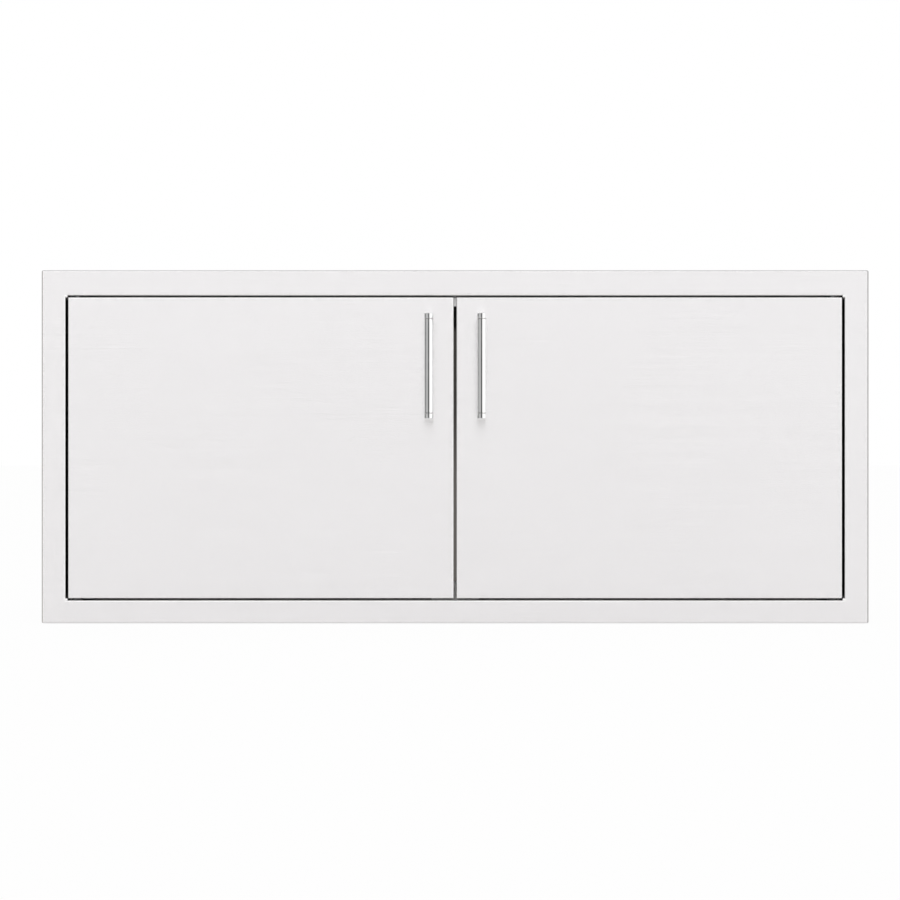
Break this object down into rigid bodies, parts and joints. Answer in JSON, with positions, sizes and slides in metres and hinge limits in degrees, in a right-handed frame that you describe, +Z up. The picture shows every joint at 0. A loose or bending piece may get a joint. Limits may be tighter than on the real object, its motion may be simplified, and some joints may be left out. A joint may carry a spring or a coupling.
{
  "type": "access door",
  "caption": "Stainless access door for an outdoor kitchen: a folded wall frame with paired hinged leaves, bar handles, sprung lift-off hinge pins and a magnetic catch.",
  "frame": {"origin": "centre of the doors' opening on the face of the wall, where the frame's outer return rests", "axes": "+X to the right seen from the front, +Y into the wall, +Z up"},
  "size_m": [1.143, 0.1006, 0.488],
  "materials": {
    "brushed_face": "stainless sheet brushed along the width",
    "mill_sheet": "stainless sheet with a dull mill finish",
    "polished_steel": "polished stainless tube",
    "hinge_steel": "plain stainless plate",
    "pin_steel": "ground stainless rod",
    "spring_steel": "drawn stainless wire",
    "rivet_steel": "stainless rivets",
    "zinc_steel": "zinc-plated steel",
    "nylon": "black nylon",
    "white_plastic": "moulded plastic",
    "magnet": "ferrite magnet",
    "clear_rubber": "grey rubber",
    "grip_rubber": "black soft rubber"
  },
  "bodies": {
    "frame": {"bottom_stop": "mill_sheet", "catch_housing": "white_plastic", "catch_magnets": "magnet", "catch_pole_plates": "zinc_steel", "catch_screws": "zinc_steel", "face_frame": "brushed_face", "hinge_plates": "hinge_steel", "lower_bushes": "nylon", "sleeve_bottom": "mill_sheet", "sleeve_left": "mill_sheet", "sleeve_right": "mill_sheet", "sleeve_top": "mill_sheet", "stop_bumpers": "clear_rubber", "top_stop": "mill_sheet", "upper_bushes": "nylon"},
    "left_door": {"left_door_liner": "mill_sheet", "left_door_skin": "brushed_face", "left_handle_bar": "polished_steel", "left_handle_posts": "polished_steel", "left_handle_screws": "zinc_steel", "left_handle_washers": "zinc_steel", "left_liner_rivets": "rivet_steel", "left_lower_pin_plate": "hinge_steel", "left_lower_pivot_pin": "pin_steel", "left_pin_bracket": "hinge_steel", "left_pin_spring": "spring_steel", "left_strike_plate": "zinc_steel", "left_strike_screws": "zinc_steel"},
    "left_hinge_pin": {"left_upper_pivot_pin": "pin_steel", "left_pin_collar": "pin_steel", "left_lever_grip": "grip_rubber"},
    "right_door": {"right_door_liner": "mill_sheet", "right_door_skin": "brushed_face", "right_handle_bar": "polished_steel", "right_handle_posts": "polished_steel", "right_handle_screws": "zinc_steel", "right_handle_washers": "zinc_steel", "right_liner_rivets": "rivet_steel", "right_lower_pin_plate": "hinge_steel", "right_lower_pivot_pin": "pin_steel", "right_pin_bracket": "hinge_steel", "right_pin_spring": "spring_steel", "right_strike_plate": "zinc_steel", "right_strike_screws": "zinc_steel"},
    "right_hinge_pin": {"right_upper_pivot_pin": "pin_steel", "right_pin_collar": "pin_steel", "right_lever_grip": "grip_rubber"}
  },
  "joints": [
    {"name": "left_door_swing", "type": "hinge", "parent": "frame", "child": "left_door", "pos_m": [-0.5232, -0.0075, 0], "axis": [0, 0, -1], "range_deg": [0, 110]},
    {"name": "left_pin_release", "type": "slide", "parent": "left_door", "child": "left_hinge_pin", "axis": [0, 0, -1], "range_m": [0, 0.0081], "stiffness_N_per_m": 400, "springref_m": -0.006, "deforming": ["left_pin_spring"]},
    {"name": "right_door_swing", "type": "hinge", "parent": "frame", "child": "right_door", "pos_m": [0.5232, -0.0075, 0], "axis": [0, 0, 1], "range_deg": [0, 110]},
    {"name": "right_pin_release", "type": "slide", "parent": "right_door", "child": "right_hinge_pin", "axis": [0, 0, -1], "range_m": [0, 0.0081], "stiffness_N_per_m": 400, "springref_m": -0.006, "deforming": ["right_pin_spring"]}
  ]
}
